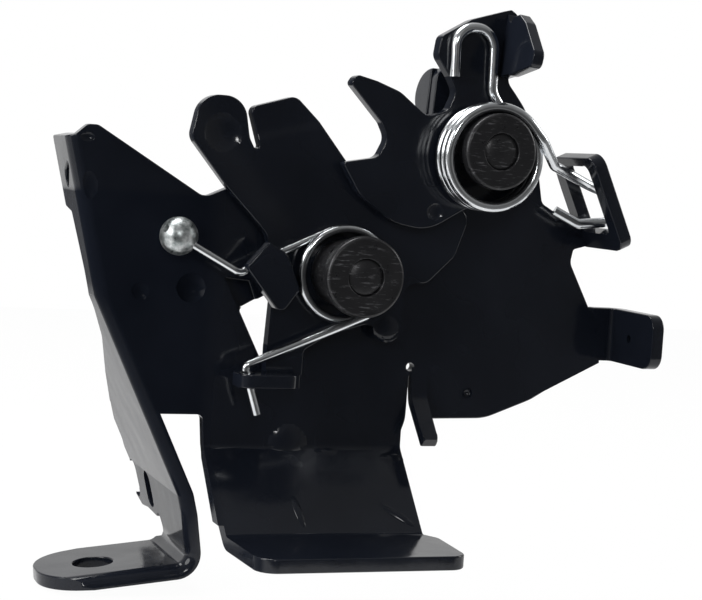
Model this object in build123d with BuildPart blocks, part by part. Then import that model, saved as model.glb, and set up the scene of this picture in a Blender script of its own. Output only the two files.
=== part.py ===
from build123d import *
import math
import os

# Striker latch of a bonnet or grille: a folded base plate carries a rotary claw and a pawl, each
# on its own shouldered rivet with a spring bush, and each turned by a wound torsion spring.
# Frame: X to the right, Y away from the viewer of the claw side, Z up. The origin is the centre of
# the mounting hole in the left foot, on the foot's upper face. Sizes are in millimetres.

# Sheet, and the stack of pieces in front of the base plate
sheet = 3.0
plate_front = -16.5
pawl_back = plate_front - 1.4
pawl_front = pawl_back - sheet
claw_back = plate_front - 5.2
claw_thick = 3.3
claw_front = claw_back - claw_thick

# Pivots
claw_pivot = (76.5, 96.8)
pawl_pivot = (47.3, 68.4)
shank_radius = 4.0
running_gap = 0.06
collar_radius = 6.6
face_gap = 0.12
tail_radius = 6.2
tail_height = 1.6

# Spring bushes
bush_barrel = 7.4
claw_head_radius = 8.3
pawl_head_radius = 8.7
head_thick = 2.8
claw_head_front = plate_front - 19.6
pawl_head_front = plate_front - 19.2

# Springs
claw_wire = 2.3
claw_coil_radius = 10.85
claw_coil_centre = (76.5, 95.55)
claw_wire_back = claw_front - claw_wire / 2 - 0.15
pawl_wire = 1.7
pawl_coil_radius = 10.05
pawl_coil_centre = (47.1, 68.1)
pawl_coil_pitch = 1.8
pawl_wire_back = pawl_front - pawl_wire / 2 - 0.3
pawl_spring_sweep = 542.6
pawl_leg_front = pawl_wire_back - pawl_coil_pitch * pawl_spring_sweep / 360

anchor_centre = (10.1, 74.6)
anchor_radius = 4.1
anchor_stand = 4.0

# Left leg and foot
hole_radius = 4.5
foot_tilt = 6.0
fold_radius = 2.9
leg_depth = 30.4

# Centre leg and foot
centre_left = 19.4
centre_right = 65.4
centre_bend = 29.0
centre_lower = 12.6
centre_reach = 37.3


def at(y):
    """A drawing plane parallel to the base plate at depth y, its normal towards the viewer."""
    return Plane.XZ.offset(-y)


def rounded(points, radii):
    """A closed outline whose corners have the given radii, 0 for a sharp one."""
    with BuildLine(mode=Mode.PRIVATE) as line:
        corners = list(zip(points, radii))
        count = len(points)
        starts, ends, centres = [], [], []
        for index in range(count):
            before = Vector(*points[index - 1])
            here = Vector(*points[index])
            after = Vector(*points[(index + 1) % count])
            radius = corners[index][1]
            one = (before - here).normalized()
            two = (after - here).normalized()
            half = math.radians(one.get_angle(two)) / 2
            trim = radius / math.tan(half) if radius else 0
            starts.append(here + one * trim)
            ends.append(here + two * trim)
            middle = (one + two).normalized() if radius else one
            reach = radius / math.sin(half) - radius if radius else 0
            centres.append(here + middle * reach)
        for index in range(count):
            if radii[index]:
                ThreePointArc(starts[index], centres[index], ends[index])
            following = (index + 1) % count
            if (starts[following] - ends[index]).length > 1e-4:
                Line(ends[index], starts[following])
    return line.line.edges()


def strip(points, radius, thickness):
    """A closed section of sheet that follows points on its right-hand face, with rounded bends."""
    with BuildSketch(mode=Mode.PRIVATE) as section:
        with BuildLine():
            FilletPolyline(*points, radius=radius)
            offset(amount=thickness, side=Side.RIGHT)
        make_face()
    return section.sketch


def wound_spring(centre, radius, diameter, pitch, start_angle, sweep_angle, back, inlet, outlet):
    """Round wire wound clockwise towards the viewer; inlet and outlet hold (points, lead, bend)."""
    turn = math.radians(start_angle)
    outward = Vector(math.cos(turn), 0, math.sin(turn))
    stand = Plane(origin=(centre[0], back, centre[1]), x_dir=outward, z_dir=(0, -1, 0))
    curl = stand * Helix(pitch, pitch * sweep_angle / 360, radius, lefthand=True)
    begin, begin_way = curl @ 0, curl % 0
    end, end_way = curl @ 1, curl % 1
    before, lead_in, bend_in = inlet
    after, lead_out, bend_out = outlet
    with BuildPart() as spring:
        with BuildLine() as path:
            FilletPolyline(*before, begin - begin_way * lead_in, begin, radius=bend_in)
            add(curl)
            FilletPolyline(end, end + end_way * lead_out, *after, radius=bend_out)
        with BuildSketch(path.line ^ 0):
            Circle(diameter / 2)
        sweep()
    return spring


def shouldered_rivet(pivot, lever_back, front):
    """A rivet with a collar that spaces the lever off the plate, its tail set behind the plate."""
    with BuildPart() as rivet:
        with BuildSketch(at(plate_front + sheet + tail_height)):
            with Locations(pivot):
                Circle(tail_radius)
        extrude(amount=tail_height)
        chamfer(rivet.faces().sort_by(Axis.Y)[-1].edges(), 0.7)
        with BuildSketch(at(plate_front + sheet)):
            with Locations(pivot):
                Circle(shank_radius)
        extrude(amount=plate_front + sheet - front)
        with BuildSketch(at(plate_front)):
            with Locations(pivot):
                Circle(collar_radius)
        extrude(amount=plate_front - lever_back - face_gap)
        chamfer(rivet.faces().sort_by(Axis.Y)[0].edges(), 0.5)
    return rivet


def spring_bush(pivot, lever_front, front, head_radius):
    """A turned bush: a barrel inside the coil, a head over it and a dished face."""
    back = lever_front - face_gap
    with BuildPart() as bush:
        with BuildSketch(at(back)):
            with Locations(pivot):
                Circle(bush_barrel)
        extrude(amount=back - front)
        with BuildSketch(at(front + head_thick)):
            with Locations(pivot):
                Circle(head_radius)
        extrude(amount=head_thick)
        chamfer(bush.faces().sort_by(Axis.Y)[0].edges(), 0.5)
        with BuildSketch(at(back)):
            with Locations(pivot):
                Circle(shank_radius)
        extrude(amount=back - front, mode=Mode.SUBTRACT)
    return bush


def base_plate():
    """The folded base: main face, left flange with its leg and foot, centre foot, right flanges."""
    # Main face, with the striker mouth at the top
    outline = [
        (-13.2, 93.6), (-9.6, 96.9), (-7.4, 96.9), (16.4, 83.0), (30.0, 89.4), (36.0, 89.6), (43.0, 81.0),
        (60.0, 81.0), (67.0, 88.0), (68.4, 114.0), (74.0, 117.6), (84.0, 111.5), (94.6, 96.0), (96.6, 86.0),
        (104.2, 82.0), (106.4, 82.0), (109.2, 76.8), (105.6, 75.8), (105.0, 72.6), (111.4, 61.0),
        (114.5, 61.2), (114.5, 49.4), (97.0, 40.2), (86.0, 35.9), (70.9, 35.6), (70.9, 45.6), (66.3, 45.6),
        (66.3, 35.6), (centre_right, 33.0), (centre_right, centre_bend), (centre_left, centre_bend),
        (18.8, 36.0), (8.0, 36.0), (-3.0, 60.0),
    ]
    radii = [
        1.0, 0.8, 2.0, 3.0, 4.0, 3.0, 6.0,
        6.0, 4.0, 3.5, 6.0, 8.0, 6.0, 2.0,
        0.5, 0.0, 0.0, 0.8, 3.0, 2.0,
        0.0, 0.0, 20.0, 12.0, 0.0, 0.4, 0.4,
        0.5, 1.0, 0.0, 0.0,
        1.5, 0.0, 0.0,
    ]
    with BuildPart() as base:
        with BuildSketch(at(plate_front + sheet)):
            with BuildLine():
                add(rounded(outline, radii))
            make_face()
        extrude(amount=sheet)

        # Left flange, leg and foot: one section in the XZ plane, cut by its outline seen from the side
        slope = math.tan(math.radians(foot_tilt))
        spine = [(-20.0, -20.0 * slope), (18.9, 18.9 * slope), (14.9, 17.6), (-5.8, 60.5), (-14.0, 94.2)]
        with BuildSketch(at(plate_front + leg_depth + 18.0), mode=Mode.PRIVATE) as section:
            add(strip(spine, 2.5, sheet))
        leg = extrude(section.sketch, amount=leg_depth + 18.0, mode=Mode.PRIVATE)
        side_points = [
            (0.0, 100.0), (16.0, 94.4), (16.0, 79.0), (10.6, 78.0), (8.6, 66.0), (8.6, 58.0), (14.0, 51.0),
            (30.0, 41.0), (40.8, 33.0), (46.0, 28.5), (46.6, 23.0), (49.8, 19.0), (50.6, 10.0), (44.0, 7.2),
            (38.0, 7.8), (29.5, 7.4), (26.6, 9.0), (25.1, 5.8), (26.6, 3.6), (30.3, 2.6), (30.3, -6.0),
            (3.7, -6.0), (3.7, 5.0), (0.0, 14.0),
        ]
        side_radii = [
            0.0, 2.0, 0.6, 0.6, 4.0, 4.0, 6.0,
            8.0, 6.0, 2.0, 2.0, 2.0, 2.6, 2.4,
            3.0, 2.0, 1.0, 1.5, 1.0, 0.5, 0.0,
            0.0, 4.0, 4.0,
        ]
        with BuildSketch(Plane.YZ.offset(-24), mode=Mode.PRIVATE) as side:
            with BuildLine():
                add(rounded([(plate_front + y, z) for y, z in side_points], side_radii))
            make_face()
        add(leg & extrude(side.sketch, amount=60, mode=Mode.PRIVATE))
        fold = [
            edge for edge in base.edges().filter_by_position(Axis.Y, plate_front - 0.01, plate_front + 0.01)
            if edge.center().X < 15.0 - 0.48 * (edge.center().Z - 17.6) + 2.0 and 17.6 < edge.center().Z < 90
        ]
        fillet(fold, fold_radius)

        # The foot's rounded end and its hole
        foot = Plane(origin=(0, 0, 0), x_dir=(1, 0, slope), z_dir=(-slope, 0, 1))
        with BuildSketch(foot.offset(2)):
            Rectangle(60, 80)
            with Locations((4.6, 0.4)):
                RectangleRounded(35, 26.6, 12.0, mode=Mode.SUBTRACT)
            with Locations((24, 0)):
                Rectangle(50, 80, mode=Mode.SUBTRACT)
        extrude(amount=-8, mode=Mode.SUBTRACT)
        with BuildSketch(foot.offset(2)):
            Circle(hole_radius)
        extrude(amount=-8, mode=Mode.SUBTRACT)

        # Centre leg and foot: a section in the YZ plane
        fall = centre_bend - centre_lower
        front = [
            (plate_front, 34.0), (plate_front, centre_bend), (plate_front - fall, centre_lower),
            (plate_front - centre_reach, centre_lower),
        ]
        with BuildSketch(Plane.YZ.offset(centre_left)):
            add(strip(front[::-1], 2.0, sheet))
        extrude(amount=centre_right - centre_left)
        near = plate_front - centre_reach
        flare = plate_front - 15.9
        with BuildSketch(Plane.XY.offset(centre_lower)):
            with Locations((centre_right, (flare + near) / 2)):
                Rectangle(6.0, flare - near)
        extrude(amount=-sheet)
        with BuildSketch(Plane.XY.offset(centre_lower + 2)):
            with BuildLine():
                add(rounded([(centre_left - 1.0, plate_front), (centre_left + 0.6, plate_front),
                             (centre_left + 2.3, near), (centre_left + 8.0, near),
                             (centre_left + 8.0, near - 1.0), (centre_left - 1.0, near - 1.0)],
                            [0.0, 0.0, 4.5, 0.0, 0.0, 0.0]))
            make_face()
            with BuildLine():
                add(rounded([(72.0, flare), (centre_right, flare), (67.9, plate_front - 19.5),
                             (67.2, near), (60.0, near), (60.0, near - 1.0), (72.0, near - 1.0)],
                            [0.0, 0.0, 3.0, 3.8, 0.0, 0.0, 0.0]))
            make_face()
        extrude(amount=-12, mode=Mode.SUBTRACT)

        # Lanced tab on the lower edge
        lip = [
            (plate_front - 9.6, 32.4), (plate_front - 1.2, 40.4), (plate_front, 47.4),
        ]
        with BuildSketch(Plane.YZ.offset(67.0)):
            add(strip(lip, 1.5, sheet - 0.4))
        extrude(amount=3.8)
        with BuildSketch(Plane.XY.offset(40.0)):
            with Locations((68.9, plate_front - 9.6)):
                Rectangle(4.0, 4.4)
            with Locations((68.9, plate_front - 8.2)):
                Circle(1.9, mode=Mode.SUBTRACT)
                with Locations((0.0, 2.0)):
                    Rectangle(4.0, 4.0, mode=Mode.SUBTRACT)
        extrude(amount=-14.0, mode=Mode.SUBTRACT)

        # Lower right flange, folded forward
        wing = [
            (112.0, plate_front), (120.4 - sheet, plate_front), (120.4 - sheet, plate_front - 18.6),
        ]
        with BuildSketch(Plane.XY.offset(50.0)):
            add(strip(wing[::-1], 1.2, sheet))
        extrude(amount=12.4)
        with BuildSketch(Plane.YZ.offset(124)):
            with Locations((plate_front - 9.6, 56.2)):
                Rectangle(30, 30)
                RectangleRounded(18.0, 12.4, 3.4, mode=Mode.SUBTRACT)
            with Locations((plate_front + 6.0, 55.7)):
                Rectangle(20, 30, mode=Mode.SUBTRACT)
            with Locations((plate_front - 8.0, 56.0)):
                Circle(0.9)
        extrude(amount=-10, mode=Mode.SUBTRACT)

        # Upper right flange with its window, folded forward along a sloping line
        wall = Plane(origin=(99.0, plate_front, 97.8), x_dir=(0, -1, 0), z_dir=(21.3, 0, 10.0))
        with BuildSketch(wall):
            with Locations((7.25, 12.3)):
                RectangleRounded(20.5, 22.4, 3.0)
            with Locations((7.25, 11.35)):
                RectangleRounded(12.5, 16.5, 1.8, mode=Mode.SUBTRACT)
        extrude(amount=sheet)

        # Openings: pivot holes, the slot beside the pawl, the striker relief and the flange opening
        with BuildSketch(at(plate_front + sheet)):
            with Locations(claw_pivot, pawl_pivot):
                Circle(shank_radius)
            with BuildLine():
                add(rounded([(25.4, 59.2), (33.3, 63.5), (39.3, 51.9), (31.4, 47.7)], [0.8, 1.5, 1.5, 1.5]))
            make_face()
            with Locations((66.6, 47.4)):
                Circle(1.0)
            with Locations(anchor_centre):
                Circle(1.6)
        extrude(amount=sheet, mode=Mode.SUBTRACT)
        # Pressed recess above the slot, and dimples in the main face
        with BuildSketch(at(plate_front + 1.2)):
            with BuildLine():
                add(rounded([(21.4, 66.2), (25.4, 59.2), (29.5, 61.4), (27.8, 65.6)], [0.6, 0.0, 0.0, 0.6]))
            make_face()
        extrude(amount=1.2, mode=Mode.SUBTRACT)
        with Locations((14.5, plate_front - 2.4, 63.4), (3.4, plate_front - 3.4, 62.3)):
            Sphere(4.0, mode=Mode.SUBTRACT)
        with Locations((81.1, plate_front - 0.3, 41.7)):
            Sphere(1.3, mode=Mode.SUBTRACT)
        with BuildSketch(Plane.YZ.offset(-24)):
            with BuildLine():
                add(rounded([(plate_front + 1.2, 90.6), (plate_front + 10.6, 86.4), (plate_front + 9.4, 82.6)],
                            [0.8, 2.0, 1.0]))
            make_face()
        extrude(amount=18, mode=Mode.SUBTRACT)
        with BuildSketch(Plane.YZ.offset(-24)):
            with Locations((plate_front + 46.4, 13.4)):
                RectangleRounded(5.8, 9.0, 2.7)
            with Locations((plate_front + 32.6, 13.4)):
                RectangleRounded(5.6, 8.4, 2.7)
        extrude(amount=50, mode=Mode.SUBTRACT)
    return base


def claw():
    """The rotary claw: a hook and a lobe either side of the striker mouth, and an arm with a flange."""
    outline = [
        (44.9, 109.4), (46.2, 111.4), (51.1, 110.3), (56.6, 108.4), (63.3, 103.4), (67.9, 105.2),
        (69.6, 109.4), (67.8, 112.6), (64.6, 116.8), (65.2, 121.2), (72.2, 125.4), (81.8, 128.4),
        (83.3, 127.0), (81.8, 112.4), (86.6, 107.0), (91.0, 97.0), (86.5, 88.0), (73.5, 83.7),
        (65.1, 78.6), (56.7, 79.9), (48.6, 85.6), (44.2, 92.4), (52.2, 93.9), (54.2, 98.2), (52.6, 101.4),
    ]
    radii = [
        1.0, 1.5, 3.0, 6.0, 3.0, 2.0,
        3.0, 2.5, 2.5, 2.0, 6.0, 1.2,
        1.2, 3.0, 9.0, 9.0, 9.0, 5.0,
        10.0, 12.0, 8.0, 0.6, 2.4, 3.0, 3.0,
    ]
    with BuildPart() as lever:
        with BuildSketch(at(claw_back)):
            with BuildLine():
                add(rounded(outline, radii))
            make_face()
            with Locations(claw_pivot):
                Circle(shank_radius + running_gap, mode=Mode.SUBTRACT)
        extrude(amount=claw_thick)
        # Flange folded forward from the arm, with a notch in its far end
        way = Vector(83.3 - 81.8, 0, 127.0 - 112.4).normalized()
        fold = Plane(origin=(81.8, claw_back, 112.4), x_dir=(0, 1, 0), z_dir=(way.Z, 0, -way.X))
        with BuildSketch(fold):
            with BuildLine():
                add(rounded([(0.0, 0.6), (-9.0, 1.0), (-19.4, 2.6), (-19.8, 5.6), (-13.0, 12.4), (-9.4, 14.4),
                             (-6.4, 14.0), (-5.0, 12.4), (-3.6, 14.7), (0.0, 14.6)],
                            [0.0, 8.0, 1.6, 2.0, 2.5, 1.4, 1.0, 0.7, 0.5, 0.0]))
            make_face()
        extrude(amount=-2.6)
    return lever


def pawl():
    """The pawl: a release spoon, a horn, a nose under the claw and two folded tabs for its spring."""
    outline = [
        (11.4, 95.6), (19.6, 85.9), (29.7, 75.8), (31.4, 62.0), (31.0, 51.0), (31.0, 45.4), (39.4, 45.4),
        (39.5, 51.0), (45.2, 54.6), (54.6, 57.4), (59.0, 52.8), (62.4, 55.6), (61.9, 66.9), (67.4, 66.6),
        (73.8, 73.0), (76.8, 82.0), (71.0, 86.5), (62.0, 80.0), (46.9, 92.3), (39.8, 100.8), (34.2, 105.9),
        (24.0, 102.8), (28.2, 89.6), (24.4, 96.2), (22.8, 104.9), (13.2, 104.9),
    ]
    radii = [
        3.0, 8.0, 5.0, 8.0, 3.0, 0.4, 0.4,
        1.5, 3.0, 3.0, 2.4, 3.0, 3.0, 3.0,
        3.0, 3.0, 3.0, 12.0, 14.0, 3.0, 2.6,
        1.6, 0.6, 5.0, 5.0, 5.0,
    ]
    with BuildPart() as lever:
        with BuildSketch(at(pawl_back)):
            with BuildLine():
                add(rounded(outline, radii))
            make_face()
            with Locations(pawl_pivot):
                Circle(shank_radius + running_gap, mode=Mode.SUBTRACT)
        extrude(amount=sheet)
        # Lower tab, folded forward, with a hole for the moving leg of the spring
        with BuildSketch(Plane.YZ.offset(31.0)):
            add(strip([(pawl_front - 6.0, 46.4), (pawl_front, 46.4), (pawl_front, 52.0)], 1.2, sheet))
        extrude(amount=6.0)
        with BuildSketch(Plane.XY.offset(46.4)):
            with BuildLine():
                add(rounded([(22.8, pawl_front - 1.2), (36.8, pawl_front - 1.2), (35.9, pawl_front - 8.0),
                             (23.2, pawl_front - 8.0)], [1.5, 0.0, 2.0, 3.0]))
            make_face()
        extrude(amount=-sheet)
        down = Plane(origin=(26.3, pawl_leg_front, 44.9), x_dir=(0, 1, 0), z_dir=(0.311, 0, -0.951))
        with BuildSketch(down):
            Circle(pawl_wire / 2 + 0.75)
        extrude(amount=4.0, both=True, mode=Mode.SUBTRACT)
        # Tongue over the fixed leg of the spring, standing on a foot at its lower right
        with BuildSketch(at(pawl_front)):
            with BuildLine():
                add(rounded([(31.9, 59.4), (35.8, 64.6), (34.4, 67.0), (30.6, 62.0)], [0.8, 0.8, 0.0, 0.0]))
            make_face()
        extrude(amount=3.2)
        with BuildSketch(at(pawl_front - 2.6)):
            with BuildLine():
                add(rounded([(23.6, 69.0), (28.4, 74.6), (32.6, 72.2), (35.9, 64.6), (31.9, 59.0)],
                            [1.2, 0.6, 3.0, 1.0, 1.6]))
            make_face()
        extrude(amount=3.0)
    return lever


def anchor():
    """The stud that holds the spring's fixed leg: a cross-drilled ball on a neck set in the plate."""
    x, z = anchor_centre
    with BuildPart() as stud:
        with Locations((x, plate_front - anchor_stand, z)):
            Sphere(anchor_radius)
        with BuildSketch(at(plate_front + sheet)):
            with Locations(anchor_centre):
                Circle(1.6)
        extrude(amount=sheet + anchor_stand)
        with BuildSketch(at(plate_front + sheet + 1.0)):
            with Locations(anchor_centre):
                Circle(2.8)
        extrude(amount=1.0)
        with BuildSketch(at(plate_front)):
            with Locations(anchor_centre):
                Circle(2.8)
        extrude(amount=0.8)
        way = Vector(23.5 - 10.9, 0, 67.4 - 74.0)
        with BuildSketch(Plane(origin=(10.9, pawl_wire_back, 74.0), x_dir=(0, 1, 0), z_dir=way)):
            Circle(pawl_wire / 2 + running_gap)
        extrude(amount=9.0, both=True, mode=Mode.SUBTRACT)
    return stud


pieces = {
    "base_plate": base_plate(),
    "claw": claw(),
    "pawl": pawl(),
    "claw_rivet": shouldered_rivet(claw_pivot, claw_back, claw_head_front + 1.2),
    "pawl_rivet": shouldered_rivet(pawl_pivot, pawl_back, pawl_head_front + 1.2),
    "claw_bush": spring_bush(claw_pivot, claw_front, claw_head_front, claw_head_radius),
    "pawl_bush": spring_bush(pawl_pivot, pawl_front, pawl_head_front, pawl_head_radius),
    "spring_anchor": anchor(),
}

# Claw spring: hooked over the claw's arm, wound round the bush, hooked round the flange's rear bar
y1 = claw_wire_back
y2 = plate_front - 14.5
pieces["claw_spring"] = wound_spring(
    claw_coil_centre, claw_coil_radius, claw_wire, 2.4, 55, 1092, y1,
    ([(68.5, y1, 112.6), (68.1, y1, 123.5), (77.3, y1, 123.5), (77.6, y1, 109.8)], 3.0, 4.3),
    ([(91.8, y2, 94.6), (103.2, plate_front - 9.0, 91.0), (109.8, plate_front - 7.0, 89.0),
      (111.6, plate_front - 6.5, 82.8), (103.0, plate_front - 6.0, 81.9),
      (97.6, plate_front - 4.6, 84.6)], 4.0, 2.0),
)

# Pawl spring: from the anchor, round the bush, to the folded tab of the pawl
y1 = pawl_wire_back
y2 = pawl_leg_front
pieces["pawl_spring"] = wound_spring(
    pawl_coil_centre, pawl_coil_radius, pawl_wire, pawl_coil_pitch, 115.6, pawl_spring_sweep, y1,
    ([(10.9, y1, 74.0), (23.5, y1, 67.4)], 11.0, 2.0),
    ([(25.0, y2, 47.8), (28.4, y2, 37.4)], 4.0, 1.2),
)

os.makedirs("parts", exist_ok=True)
for name, piece in pieces.items():
    piece.part.label = name
    export_step(piece.part, "parts/" + name + ".step")
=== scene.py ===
import math

import bmesh
import bpy
from mathutils import Matrix, Vector
from mathutils.bvhtree import BVHTree
from mathutils.kdtree import KDTree


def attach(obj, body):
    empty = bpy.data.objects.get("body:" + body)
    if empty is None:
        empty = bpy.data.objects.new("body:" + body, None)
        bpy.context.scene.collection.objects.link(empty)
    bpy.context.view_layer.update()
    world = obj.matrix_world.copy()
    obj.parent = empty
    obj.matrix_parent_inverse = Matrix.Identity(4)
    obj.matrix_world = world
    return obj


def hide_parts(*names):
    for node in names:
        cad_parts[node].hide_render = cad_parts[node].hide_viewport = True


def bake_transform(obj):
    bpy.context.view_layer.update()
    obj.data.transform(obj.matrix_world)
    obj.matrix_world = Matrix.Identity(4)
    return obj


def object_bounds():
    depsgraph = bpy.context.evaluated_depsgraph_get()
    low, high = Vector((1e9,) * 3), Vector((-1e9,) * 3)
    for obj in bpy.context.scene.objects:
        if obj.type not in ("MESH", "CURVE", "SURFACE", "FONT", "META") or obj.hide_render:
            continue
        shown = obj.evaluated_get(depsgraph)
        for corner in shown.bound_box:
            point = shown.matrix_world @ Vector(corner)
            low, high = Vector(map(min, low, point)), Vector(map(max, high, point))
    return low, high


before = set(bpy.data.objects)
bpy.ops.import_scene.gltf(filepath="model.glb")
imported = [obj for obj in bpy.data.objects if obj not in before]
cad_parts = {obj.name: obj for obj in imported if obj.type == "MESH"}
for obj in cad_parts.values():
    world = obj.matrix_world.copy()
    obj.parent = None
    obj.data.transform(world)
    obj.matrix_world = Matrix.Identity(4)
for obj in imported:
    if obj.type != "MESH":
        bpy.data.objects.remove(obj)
cad_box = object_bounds()
bpy.ops.object.select_all(action="DESELECT")

MM = 0.001

# Meshes: points closer than MERGE (m) are one, faces flatter than FLAT are one, edges that turn
# more than SHARP are rounded, and shading breaks at edges that turn more than SMOOTH. Points are
# put in order by their coordinates (m) to SORT_DIGITS.
MERGE = 0.000002
FLAT = math.radians(0.5)
SHARP = math.radians(35)
SMOOTH = math.radians(40)
SORT_DIGITS = 6
NORMAL_WEIGHT = 90
ROUNDING_SEGMENTS = 3

# Rounding is tried again without the edges that crowd, until the faces that fold over are
# smaller than FOLDED_AREA (m2) in all. A face folds over when its direction agrees less than
# AGREEMENT with the nearest CAD face, or when it lies further away than the rounding's width.
# Faces under TINY_FACE (m2) aren't judged. The edges to blame pass within REACH widths, found
# from points every SAMPLE_STEP (m) along the edges.
TRIES = 7
FOLDED_AREA = 3e-7
AGREEMENT = 0.3
TINY_FACE = 1e-9
REACH = 1.3
SAMPLE_STEP = 0.0003

# A pressing is the cap of an ellipsoid: the half height and the depth of the centre in heights
# of the pressing, and the cap's width as a share of the ellipsoid's
CAP_HALF = 3.0
CAP_DEPTH = 2.0
CAP_WIDTH = 0.745

# Rounding of the sheet pieces and of the turned ones, and the size of a rivet's end, in mm
SHEET_ROUNDING = 0.35
TURNED_ROUNDING = 0.25
FLANGE_ROUNDING = 0.4
RIVET_END_RADIUS = 4.3
RIVET_END_RISE = 1.3


# Shader nodes

def finish(name, color, metallic, roughness, specular=0.5):
    """A material with one shader; the colour and roughness sockets can be linked afterwards."""
    material = bpy.data.materials.new(name)
    material.use_nodes = True
    tree = material.node_tree
    shader = tree.nodes["Principled BSDF"]
    shader.inputs["Base Color"].default_value = (*color, 1.0)
    shader.inputs["Metallic"].default_value = metallic
    shader.inputs["Roughness"].default_value = roughness
    shader.inputs["Specular IOR Level"].default_value = specular
    material.diffuse_color = (*color, 1.0)
    return material, tree, shader


def coordinates(tree, kind):
    """The Object, Normal or Generated coordinates of the shaded point."""
    return tree.nodes.new("ShaderNodeTexCoord").outputs[kind]


def component(tree, vector, axis):
    """One component of a vector."""
    node = tree.nodes.new("ShaderNodeSeparateXYZ")
    tree.links.new(vector, node.inputs["Vector"])
    return node.outputs[axis]


def place(tree, scale=(1.0, 1.0, 1.0), turn=(0.0, 0.0, 0.0)):
    """Object coordinates in millimetres, stretched or turned for a directional pattern."""
    mapping = tree.nodes.new("ShaderNodeMapping")
    mapping.inputs["Scale"].default_value = [s / MM for s in scale]
    mapping.inputs["Rotation"].default_value = turn
    tree.links.new(coordinates(tree, "Object"), mapping.inputs["Vector"])
    return mapping.outputs["Vector"]


def along(tree, way):
    """The distance along a direction, in millimetres."""
    node = tree.nodes.new("ShaderNodeVectorMath")
    node.operation = "DOT_PRODUCT"
    node.inputs[1].default_value = [v / MM for v in way]
    tree.links.new(coordinates(tree, "Object"), node.inputs[0])
    return node.outputs["Value"]


def reckon(tree, operation, *values):
    """The result of a calculation on sockets and plain numbers."""
    node = tree.nodes.new("ShaderNodeMath")
    node.operation = operation
    for socket, value in zip(node.inputs, values):
        if isinstance(value, float):
            socket.default_value = value
        else:
            tree.links.new(value, socket)
    return node.outputs["Value"]


def fade(tree, value, start, end, low, high, kind="SMOOTHSTEP"):
    """A step from low at start to high at end, smooth unless another kind is asked for."""
    node = tree.nodes.new("ShaderNodeMapRange")
    node.interpolation_type = kind
    node.inputs["From Min"].default_value = start
    node.inputs["From Max"].default_value = end
    node.inputs["To Min"].default_value = low
    node.inputs["To Max"].default_value = high
    tree.links.new(value, node.inputs["Value"])
    return node.outputs["Result"]


def noise(tree, vector, scale, detail=3.0, rough=0.55):
    """A cloudy pattern; scale is in waves per millimetre."""
    node = tree.nodes.new("ShaderNodeTexNoise")
    node.inputs["Scale"].default_value = scale
    node.inputs["Detail"].default_value = detail
    node.inputs["Roughness"].default_value = rough
    tree.links.new(vector, node.inputs["Vector"])
    return node.outputs["Fac"]


def ramp(tree, value, stops):
    """A colour ramp; stops hold a position and a grey level or a colour."""
    node = tree.nodes.new("ShaderNodeValToRGB")
    points = node.color_ramp.elements
    while len(points) < len(stops):
        points.new(0.5)
    for point, (position, color) in zip(points, stops):
        point.position = position
        point.color = (*color, 1.0) if isinstance(color, tuple) else (color, color, color, 1.0)
    tree.links.new(value, node.inputs["Fac"])
    return node.outputs["Color"]


def bump(tree, height, strength, distance, before=None):
    """A normal tilted by a height pattern; distance is in metres, before is an earlier bump."""
    node = tree.nodes.new("ShaderNodeBump")
    node.inputs["Strength"].default_value = strength
    node.inputs["Distance"].default_value = distance
    tree.links.new(height, node.inputs["Height"])
    if before is not None:
        tree.links.new(before, node.inputs["Normal"])
    return node.outputs["Normal"]


def slanting(tree, slopes):
    """Heights in metres that rise along a direction, each inside a gate along another one."""
    total = 0.0
    for way, start, end, height, gate_way, gate_start, gate_end in slopes:
        slope = fade(tree, along(tree, way), start, end, 0.0, MM * height)
        gate = fade(tree, along(tree, gate_way), gate_start, gate_end, 0.0, 1.0)
        total = reckon(tree, "ADD", total, reckon(tree, "MULTIPLY", slope, gate))
    return total


def mixed(tree, share, first, second, output):
    """Sends a mix of two shaders to an output node; share is the second one's."""
    mix = tree.nodes.new("ShaderNodeMixShader")
    tree.links.new(share, mix.inputs["Fac"])
    tree.links.new(first, mix.inputs[1])
    tree.links.new(second, mix.inputs[2])
    tree.links.new(mix.outputs["Shader"], tree.nodes[output].inputs["Surface"])


# Finishes

def painted_edge_shade(tree):
    """Painted shade on edges: 1 on the faces of a lever or plate, almost 0 on edges that look
    left or right, whose reflection it turns down.
    """
    sideways = reckon(tree, "ABSOLUTE", component(tree, coordinates(tree, "Normal"), "X"))
    return fade(tree, sideways, start=0.6, end=0.85, low=1.0, high=0.012)


def painted_lever_reflection(tree):
    """Painted reflection strength of the claw and the pawl, with painted shade on their side
    edges.
    """
    return reckon(tree, "MULTIPLY", painted_edge_shade(tree), 0.4)


def painted_base_reflection(tree):
    """Painted reflection strength of the base: least on the left flange's middle (painted
    shade), more on the foot and the top (painted reflection), full on the right.
    """
    height = along(tree, (0.0, 0.0, 1.0))
    across = along(tree, (1.0, 0.0, 0.0))
    # Painted shade on the left flange's middle, painted reflection on its lower part, the foot
    # and the top
    leg = fade(tree, height, start=56.0, end=64.0, low=0.05, high=0.003)
    foot = fade(tree, height, start=3.5, end=6.5, low=0.28, high=0.0)
    top = fade(tree, height, start=82.6, end=84.2, low=0.0, high=0.26)
    right = fade(tree, across, start=16.0, end=22.0, low=0.0, high=0.4)
    left = reckon(tree, "ADD", reckon(tree, "ADD", leg, foot), top)
    return reckon(tree, "MAXIMUM", left, reckon(tree, "MULTIPLY", right, painted_edge_shade(tree)))


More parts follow.
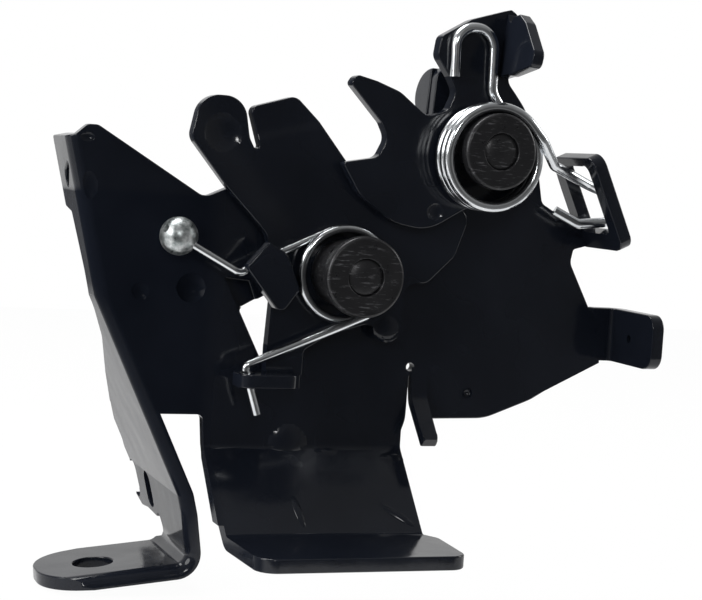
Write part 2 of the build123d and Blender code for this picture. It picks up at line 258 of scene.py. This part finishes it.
def black_coat(name, painted_reflection, slopes=()):
    """Glossy black dip coat on sheet steel: orange peel, slow waviness, nibs and slopes, with a
    painted reflection strength from the given function.
    """
    material, tree, shader = finish(
        name, (0.003, 0.0034, 0.0045), metallic=0.0, roughness=0.13, specular=0.4)
    vector = place(tree)
    peel = noise(tree, vector, scale=0.9)
    wave = noise(tree, vector, scale=0.045, detail=2.0)
    nibs = noise(tree, vector, scale=2.4, detail=1.0)
    tint = ramp(tree, wave, [(0.3, (0.0060, 0.0076, 0.0120)), (0.7, (0.0100, 0.0122, 0.0185))])
    tree.links.new(tint, shader.inputs["Base Color"])
    gloss = ramp(tree, peel, [(0.25, 0.08), (0.8, 0.18)])
    tree.links.new(gloss, shader.inputs["Roughness"])
    # Painted reflection and painted shade: the reflection strength follows place and facing, not
    # the coat
    tree.links.new(painted_reflection(tree), shader.inputs["Specular IOR Level"])
    grains = ramp(tree, nibs, [(0.74, 0.0), (0.8, 1.0)])
    normal = bump(tree, wave, strength=0.25, distance=0.0012)
    normal = bump(tree, peel, strength=0.10, distance=0.00008, before=normal)
    normal = bump(tree, grains, strength=0.25, distance=0.00006, before=normal)
    if slopes:
        normal = bump(tree, slanting(tree, slopes), strength=1.0, distance=1.0, before=normal)
    tree.links.new(normal, shader.inputs["Normal"])
    return material


def turned_black():
    """Blackened turned steel: slanting scratches and patches of different gloss."""
    material, tree, shader = finish(
        "black_turned_steel", (0.016, 0.016, 0.018), metallic=0.35, roughness=0.34)
    stretched = place(tree, scale=(0.30, 1.0, 2.2), turn=(0.0, 0.7, 0.0))
    scratches = noise(tree, stretched, scale=1.0, detail=4.0, rough=0.7)
    blotch = noise(tree, place(tree), scale=0.35)
    tint = tree.nodes.new("ShaderNodeMix")
    tint.data_type = "RGBA"
    tint.inputs["A"].default_value = (0.020, 0.020, 0.022, 1.0)
    tint.inputs["B"].default_value = (0.16, 0.16, 0.17, 1.0)
    marks = ramp(tree, scratches, [(0.57, 0.0), (0.70, 1.0)])
    tree.links.new(marks, tint.inputs["Factor"])
    tree.links.new(tint.outputs["Result"], shader.inputs["Base Color"])
    gloss = ramp(tree, blotch, [(0.3, 0.26), (0.75, 0.44)])
    tree.links.new(gloss, shader.inputs["Roughness"])
    normal = bump(tree, scratches, strength=0.25, distance=0.00008)
    tree.links.new(normal, shader.inputs["Normal"])
    return material


def zinc_wire():
    """Bright zinc on drawn wire: darker tones in places and a fine grain."""
    material, tree, shader = finish(
        "zinc_spring_wire", (0.72, 0.74, 0.76), metallic=1.0, roughness=0.16)
    vector = place(tree)
    grain = noise(tree, vector, scale=0.8, detail=2.0)
    patch = noise(tree, vector, scale=0.16, detail=2.0)
    tint = ramp(tree, patch, [(0.3, (0.62, 0.64, 0.66)), (0.7, (0.84, 0.86, 0.88))])
    tree.links.new(tint, shader.inputs["Base Color"])
    gloss = ramp(tree, grain, [(0.3, 0.13), (0.75, 0.24)])
    tree.links.new(gloss, shader.inputs["Roughness"])
    normal = bump(tree, grain, strength=0.05, distance=0.00003)
    tree.links.new(normal, shader.inputs["Normal"])
    return material


def zinc_ball():
    """Mottled zinc on the anchor stud: pale blooms on grey with a fine grain."""
    material, tree, shader = finish(
        "zinc_anchor_stud", (0.45, 0.48, 0.48), metallic=0.9, roughness=0.34)
    vector = place(tree)
    bloom = noise(tree, vector, scale=0.55, detail=5.0, rough=0.65)
    grain = noise(tree, vector, scale=2.2)
    tint = ramp(tree, bloom, [
        (0.34, (0.20, 0.23, 0.23)), (0.5, (0.42, 0.45, 0.45)), (0.66, (0.78, 0.80, 0.80))])
    tree.links.new(tint, shader.inputs["Base Color"])
    gloss = ramp(tree, bloom, [(0.3, 0.22), (0.7, 0.5)])
    tree.links.new(gloss, shader.inputs["Roughness"])
    normal = bump(tree, grain, strength=0.2, distance=0.00008)
    tree.links.new(normal, shader.inputs["Normal"])
    return material


# The pawl's slopes, which are shading only (the step across the horn and the tilt of the spoon's
# arm): direction, start, end and height of the rise, then direction, start and end of the gate
pawl_slopes = [
    ((-0.265, 0.0, 0.964), 84.4, 87.8, -0.5, (0.968, 0.0, 0.252), 48.5, 49.4),
    ((-0.76, 0.0, -0.65), -79.5, -69.5, 0.95, (0.0, 0.0, 1.0), 70.0, 82.0),
]

turned, wire, ball = turned_black(), zinc_wire(), zinc_ball()
# The base, claw and pawl coats carry painted reflection: painted shade on side edges and the
# base's left flange, painted reflection on its foot and top
base_coat = black_coat("black_dip_coat_base", painted_base_reflection)
claw_coat = black_coat("black_dip_coat_claw", painted_lever_reflection)
pawl_coat = black_coat("black_dip_coat_pawl", painted_lever_reflection, pawl_slopes)

# Pressings: centre on the sheet's face, half sizes across and up, turn, lean of the face, and
# height, which is less than 0 for a dent
pressings = {
    "base_plate": [
        ((38.5, -16.5, 29.6), 4.7, 4.7, 0.0, 0.0, 1.0),
        ((47.4, -17.3, 28.2), 2.6, 1.2, 0.0, 45.0, 0.3),
        ((62.3, -18.5, 27.0), 2.6, 1.5, 0.0, 45.0, 0.35),
        ((37.9, -28.5, 17.0), 0.9, 4.2, -8.0, 45.0, 0.35),
        ((60.6, -29.3, 16.2), 4.6, 1.1, 40.0, 45.0, 0.5),
        ((-9.0, -16.5, 84.0), 2.2, 3.2, 0.0, 0.0, -0.5),
        ((-9.6, -16.5, 94.2), 1.6, 1.0, 0.0, 0.0, -0.4),
    ],
    "claw": [
        ((66.5, -25.0, 82.8), 2.0, 2.0, 0.0, 0.0, -0.45),
    ],
    "pawl": [
        ((18.4, -20.9, 97.0), 4.3, 4.3, 0.0, 0.0, -0.8),
        ((58.8, -20.9, 56.6), 2.6, 2.6, 0.0, 0.0, 0.4),
    ],
}


# Pieces

def chosen(piece):
    """Makes an object the active one and the only one selected."""
    bpy.ops.object.select_all(action="DESELECT")
    bpy.context.view_layer.objects.active = piece
    piece.select_set(True)


def added(name, mesh):
    """A new object with a mesh, linked and chosen."""
    piece = bpy.data.objects.new(name, mesh)
    bpy.context.collection.objects.link(piece)
    chosen(piece)
    return piece


def coated(mesh, material):
    """Gives a mesh one finish."""
    mesh.materials.clear()
    mesh.materials.append(material)


def merged(source, name):
    """A copy of a mesh in which points at one spot are one point."""
    form = bmesh.new()
    form.from_mesh(source)
    bmesh.ops.remove_doubles(form, verts=form.verts, dist=MERGE)
    mesh = bpy.data.meshes.new(name)
    form.to_mesh(mesh)
    form.free()
    return mesh


def pressed(node):
    """A mesh of the CAD node with its small pressings and dents."""
    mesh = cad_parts[node].data.copy()
    if node not in pressings:
        return mesh
    piece = added("pressed", mesh)
    for centre, across, rise, turn, lean, height in pressings[node]:
        face = Matrix.Rotation(math.radians(-lean), 4, "X")
        outward = face @ Vector((0.0, -1.0, 0.0))
        spot = Vector(centre) - outward * (CAP_DEPTH * height)
        twist = Matrix.Rotation(math.radians(turn), 4, "Y")
        size = Matrix.Diagonal((
            MM * across / CAP_WIDTH, MM * CAP_HALF * abs(height), MM * rise / CAP_WIDTH, 1.0))
        bpy.ops.mesh.primitive_uv_sphere_add(segments=40, ring_count=20, radius=1.0)
        stamp = bpy.context.object
        stamp.data.transform(Matrix.Translation(MM * spot) @ face @ twist @ size)
        chosen(piece)
        press = piece.modifiers.new("press", "BOOLEAN")
        press.operation = "UNION" if height > 0 else "DIFFERENCE"
        press.solver = "EXACT"
        press.object = stamp
        bpy.ops.object.modifier_apply(modifier="press")
        bpy.data.objects.remove(stamp)
    mesh = piece.data
    bpy.data.objects.remove(piece)
    return mesh


def settled(mesh):
    """The same mesh in a fixed order of points and faces, which a Boolean doesn't give."""
    spots = [tuple(vertex.co) for vertex in mesh.vertices]
    order = sorted(
        range(len(spots)), key=lambda i: ([round(c, SORT_DIGITS) for c in spots[i]], spots[i]))
    rank = {old: new for new, old in enumerate(order)}
    rings = []
    for polygon in mesh.polygons:
        ring = [rank[i] for i in polygon.vertices]
        first = ring.index(min(ring))
        rings.append(ring[first:] + ring[:first])
    fixed = bpy.data.meshes.new("settled")
    fixed.from_pydata([spots[i] for i in order], [], sorted(rings))
    return fixed


def flattened(node):
    """The form of a CAD node, with its pressings, in as few flat faces as it takes."""
    form = bmesh.new()
    form.from_mesh(settled(merged(pressed(node), "merged")))
    bmesh.ops.dissolve_limit(form, angle_limit=FLAT, verts=form.verts, edges=form.edges)
    form.edges.ensure_lookup_table()
    form.normal_update()
    return form


def surface_of(form):
    """A surface that can be asked for the face of a form nearest to a point."""
    cut = form.copy()
    bmesh.ops.triangulate(cut, faces=cut.faces)
    surface = BVHTree.FromBMesh(cut)
    cut.free()
    return surface


def sampled(form, edges):
    """Points along edges to search among, and the edge that each point lies on."""
    points, owners = [], []
    for index in sorted(edges):
        a, b = (vertex.co for vertex in form.edges[index].verts)
        steps = max(2, int((a - b).length / SAMPLE_STEP))
        points += [a.lerp(b, k / steps) for k in range(steps + 1)]
        owners += [index] * (steps + 1)
    near = KDTree(len(points))
    for k, point in enumerate(points):
        near.insert(point, k)
    near.balance()
    return near, owners


def rounded(form, edges, width):
    """An object made from a form with some of its edges rounded."""
    mesh = bpy.data.meshes.new("form")
    form.to_mesh(mesh)
    weight = mesh.attributes.new("bevel_weight_edge", "FLOAT", "EDGE")
    for index in edges:
        weight.data[index].value = 1.0
    piece = added("form", mesh)
    edge = piece.modifiers.new("edge", "BEVEL")
    edge.width = width
    edge.segments = ROUNDING_SEGMENTS
    edge.limit_method = "WEIGHT"
    edge.use_clamp_overlap = False
    bpy.ops.object.modifier_apply(modifier="edge")
    return piece


def folds(mesh, surface, near, owners, width):
    """The area of the faces that rounding folded over, and the edges close to them."""
    form = bmesh.new()
    form.from_mesh(mesh)
    bmesh.ops.triangulate(form, faces=form.faces)
    folded, crowded = 0.0, set()
    for face in form.faces:
        area = face.calc_area()
        if area < TINY_FACE:
            continue
        _, normal, _, gap = surface.find_nearest(face.calc_center_median())
        if face.normal.dot(normal) < AGREEMENT or gap > width:
            folded += area
            for vertex in face.verts:
                crowded |= {owners[k] for _, k, _ in near.find_range(vertex.co, REACH * width)}
    form.free()
    return folded, crowded


def softened(node, body, width, material):
    """Replaces a CAD node by a form with rounded edges, except where the edges crowd."""
    width *= MM
    source = flattened(node)
    sharp = {
        edge.index for edge in source.edges
        if len(edge.link_faces) == 2 and edge.calc_face_angle(0.0) > SHARP}
    surface = surface_of(source)
    near, owners = sampled(source, sharp)
    for attempt in range(TRIES):
        piece = rounded(source, sharp, width)
        folded, crowded = folds(piece.data, surface, near, owners, width)
        if folded < FOLDED_AREA or not crowded & sharp or attempt == TRIES - 1:
            break
        sharp -= crowded
        bpy.data.objects.remove(piece)
    source.free()
    piece.name = node + "_form"
    piece.data.name = node + "_form"
    bpy.ops.object.shade_smooth_by_angle(angle=SMOOTH)
    level = piece.modifiers.new("level", "WEIGHTED_NORMAL")
    level.keep_sharp = True
    level.weight = NORMAL_WEIGHT
    bpy.ops.object.modifier_apply(modifier="level")
    coated(piece.data, material)
    piece.select_set(False)
    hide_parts(node)
    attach(piece, body)


def sprung(node):
    """Replaces a wound spring by a smooth-shaded copy of its CAD mesh."""
    piece = added(node + "_wound", merged(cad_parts[node].data, node + "_wound"))
    bpy.ops.mesh.customdata_custom_splitnormals_clear()
    bpy.ops.object.shade_smooth_by_angle(angle=SMOOTH)
    coated(piece.data, wire)
    piece.select_set(False)
    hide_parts(node)
    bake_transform(piece)


def domed(name, centre, radius, rise):
    """The domed end of a rivet, standing on its shank."""
    around, levels = 48, 12
    x, y, z = centre
    points = [(x, y - rise, z)]
    for level in range(1, levels + 1):
        tilt = 0.5 * math.pi * level / levels
        for step in range(around):
            turn = 2.0 * math.pi * step / around
            points.append((
                x + radius * math.sin(tilt) * math.cos(turn),
                y - rise * math.cos(tilt),
                z + radius * math.sin(tilt) * math.sin(turn),
            ))
    points.append(centre)
    base = len(points) - 1
    faces = []
    for step in range(around):
        after = (step + 1) % around
        faces.append((0, 1 + step, 1 + after))
        for level in range(levels - 1):
            low, high = 1 + level * around, 1 + (level + 1) * around
            faces.append((low + step, high + step, high + after, low + after))
        rim = 1 + (levels - 1) * around
        faces.append((rim + after, rim + step, base))
    mesh = bpy.data.meshes.new(name)
    mesh.from_pydata([[MM * v for v in point] for point in points], [], faces)
    piece = added(name, mesh)
    bpy.ops.object.shade_smooth_by_angle(angle=SMOOTH)
    piece.select_set(False)
    coated(mesh, turned)
    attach(piece, "base")


def mouth_flange():
    """The half-moon flange folded back from the edge of the striker mouth."""
    back, middle = -13.6, 109.6
    depth, half_height, droop, bluntness = 8.2, 5.3, 0.8, 0.8
    sides, slant, upright_at = (67.5, 70.2), 0.06, 104.0
    steps = 24
    rim = []
    for step in range(steps + 1):
        turn = math.pi * step / steps
        rim.append((
            back + depth * math.sin(turn) ** bluntness,
            middle + half_height * math.cos(turn) - droop * math.sin(turn),
        ))
    form = bmesh.new()
    rows = []
    for x in sides:
        rows.append([
            form.verts.new((MM * (x + slant * (z - upright_at)), MM * y, MM * z))
            for y, z in rim])
    form.faces.new(rows[0])
    form.faces.new(rows[1][::-1])
    for index in range(len(rim)):
        after = (index + 1) % len(rim)
        form.faces.new((rows[0][index], rows[1][index], rows[1][after], rows[0][after]))
    bmesh.ops.recalc_face_normals(form, faces=form.faces)
    mesh = bpy.data.meshes.new("mouth_flange")
    form.to_mesh(mesh)
    form.free()
    piece = added("mouth_flange", mesh)
    bpy.ops.object.shade_smooth_by_angle(angle=SHARP)
    edge = piece.modifiers.new("edge", "BEVEL")
    edge.width = MM * FLANGE_ROUNDING
    edge.segments = ROUNDING_SEGMENTS
    edge.limit_method = "ANGLE"
    edge.angle_limit = SHARP
    edge.harden_normals = True
    bpy.ops.object.modifier_apply(modifier="edge")
    piece.select_set(False)
    coated(mesh, base_coat)
    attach(piece, "base")


for node, body, coat in (
    ("base_plate", "base", base_coat),
    ("claw", "claw", claw_coat),
    ("pawl", "pawl", pawl_coat),
):
    softened(node, body, SHEET_ROUNDING, coat)
for node in ("claw_bush", "pawl_bush"):
    softened(node, "base", TURNED_ROUNDING, turned)
for node, material in (("claw_rivet", turned), ("pawl_rivet", turned), ("spring_anchor", ball)):
    coated(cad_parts[node].data, material)

# Springs: node, lever, the direction along which the wire bends, and the bend's start and end
for node, lever, way, start, end in (
    ("claw_spring", "claw", (-0.5, 0.7, 0.5), -14.2, -7.8),
    ("pawl_spring", "pawl", (0.0, -0.7, -0.7), -31.5, -24.0),
):
    sprung(node)

for name, centre in (
    ("claw_rivet_end", (76.5, -34.9, 96.8)),
    ("pawl_rivet_end", (47.3, -34.5, 68.4)),
):
    domed(name, centre, RIVET_END_RADIUS, RIVET_END_RISE)
mouth_flange()


# Camera, at the photograph's viewing angle

def look():
    """The camera stands left of the latch, a little above its middle, slightly rolled."""
    turn, rise, roll = (math.radians(angle) for angle in (-20.579, 4.214, 3.720))
    spot = Vector((-0.08502, -0.37959, 0.09065))
    ahead = Vector((
        -math.sin(turn) * math.cos(rise), math.cos(turn) * math.cos(rise), -math.sin(rise)))
    side = Vector((math.cos(turn), math.sin(turn), 0.0))
    up = side.cross(ahead)
    across = side * math.cos(roll) + up * math.sin(roll)
    above = up * math.cos(roll) - side * math.sin(roll)
    camera = bpy.data.objects.new("camera", bpy.data.cameras.new("camera"))
    camera.data.sensor_fit = "HORIZONTAL"
    camera.data.sensor_width = 36.0
    camera.data.lens = 89.744
    camera.data.clip_start = 0.01
    camera.data.clip_end = 20.0
    frame_axes = Matrix((across, above, -ahead)).transposed().to_4x4()
    camera.matrix_world = Matrix.Translation(spot) @ frame_axes
    bpy.context.collection.objects.link(camera)
    bpy.context.scene.camera = camera


# Studio

def lay_floor():
    """A pale floor that the camera sees almost white, and that is dimmer in reflections."""
    drop, seen_light, mirrored_light = 0.0004, 0.97, 0.60
    bpy.ops.mesh.primitive_plane_add(size=1.0, location=(0.05, 0.28, cad_box[0][2] - drop))
    floor = bpy.context.object
    floor.scale = (1.1, 0.8, 1.0)
    floor.name = "floor"
    paint, tree, shader = finish(
        "pale_floor", (0.9, 0.9, 0.9), metallic=0.0, roughness=0.9, specular=0.1)
    glow = tree.nodes.new("ShaderNodeEmission")
    path = tree.nodes.new("ShaderNodeLightPath")
    mirrored = reckon(tree, "MULTIPLY", path.outputs["Is Glossy Ray"], mirrored_light)
    seen = reckon(tree, "MULTIPLY_ADD", path.outputs["Is Camera Ray"], seen_light, mirrored)
    mixed(tree, seen, shader.outputs["BSDF"], glow.outputs["Emission"], "Material Output")
    floor.data.materials.append(paint)


def surround():
    """A world that is white to the camera, dark behind it and pale beyond the latch."""
    world = bpy.data.worlds.new("studio")
    bpy.context.scene.world = world
    world.use_nodes = True
    tree = world.node_tree
    back = tree.nodes["Background"]
    white = tree.nodes.new("ShaderNodeBackground")
    white.inputs["Color"].default_value = (1.0, 1.0, 1.0, 1.0)
    path = tree.nodes.new("ShaderNodeLightPath")
    beyond = component(tree, coordinates(tree, "Generated"), "Y")
    level = fade(tree, beyond, start=-1.0, end=1.0, low=0.0, high=1.0, kind="LINEAR")
    light = ramp(tree, level, [
        (0.0, 0.05), (0.035, 0.08), (0.08, 0.16), (0.25, 0.2), (0.5, 0.3), (0.8, 0.6),
        (0.97, 0.8)])
    tree.links.new(light, back.inputs["Color"])
    mixed(tree, path.outputs["Is Camera Ray"], back.outputs["Background"],
          white.outputs["Background"], "World Output")


# Lamps: name, position and aim in metres, diameter in metres, power in watts
lamps = [
    ("lamp_above", (-0.12, 0.16, 0.60), (0.05, -0.02, 0.06), 0.40, 3.0),
    ("lamp_left", (-0.55, -0.20, 0.30), (0.03, -0.02, 0.06), 0.40, 2.2),
    ("lamp_right", (0.66, -0.08, 0.30), (0.06, -0.02, 0.06), 0.30, 1.1),
    ("lamp_front", (-0.12, -0.67, 0.31), (0.02, -0.02, 0.09), 0.10, 0.6),
]


def light_up():
    """Soft round lamps above, at the sides and in front."""
    for name, spot, aim, size, power in lamps:
        lamp = bpy.data.lights.new(name, "AREA")
        lamp.shape = "DISK"
        lamp.size = size
        lamp.energy = power
        holder = bpy.data.objects.new(name, lamp)
        holder.location = spot
        toward = (Vector(aim) - Vector(spot)).to_track_quat("-Z", "Y")
        holder.rotation_euler = toward.to_euler()
        bpy.context.collection.objects.link(holder)


look()
lay_floor()
surround()
light_up()
bpy.context.scene.view_settings.view_transform = "Standard"
